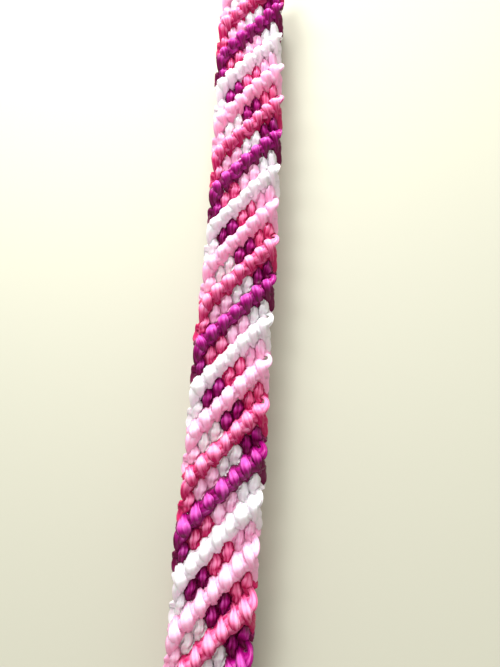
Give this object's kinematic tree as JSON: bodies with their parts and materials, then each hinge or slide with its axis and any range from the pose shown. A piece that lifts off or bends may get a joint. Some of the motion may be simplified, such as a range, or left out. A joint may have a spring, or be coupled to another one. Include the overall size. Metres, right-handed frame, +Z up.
{
  "type": "friendship bracelet",
  "caption": "Flat knotted floss bracelet with slanted purple, white and pink stripes, lying as a closed loop, tied at the back with braided ties.",
  "frame": {"origin": "under the middle of the loop, on the surface it lies on", "axes": "+Y along the flattened loop, up the picture, +X across the band, to the picture's right, +Z up; the patterned face is outwards"},
  "size_m": [0.0084, 0.0948, 0.0088],
  "materials": {
    "purple_floss": "satin cotton floss, magenta purple",
    "white_floss": "satin cotton floss, white",
    "pale_pink_floss": "satin cotton floss, pale pink",
    "pink_floss": "satin cotton floss, warm pink"
  },
  "bodies": {
    "root": {"knotted_band": "purple_floss", "start_fan": "white_floss", "end_fan": "white_floss", "start_knot": "pink_floss", "end_knot": "pink_floss", "start_tie": "pale_pink_floss", "end_tie": "pale_pink_floss", "closing_knot": "pink_floss", "start_tail": "pale_pink_floss", "end_tail": "pale_pink_floss", "start_tail_knot": "pink_floss", "end_tail_knot": "pink_floss", "start_tassel": "white_floss", "end_tassel": "white_floss"}
  },
  "joints": []
}
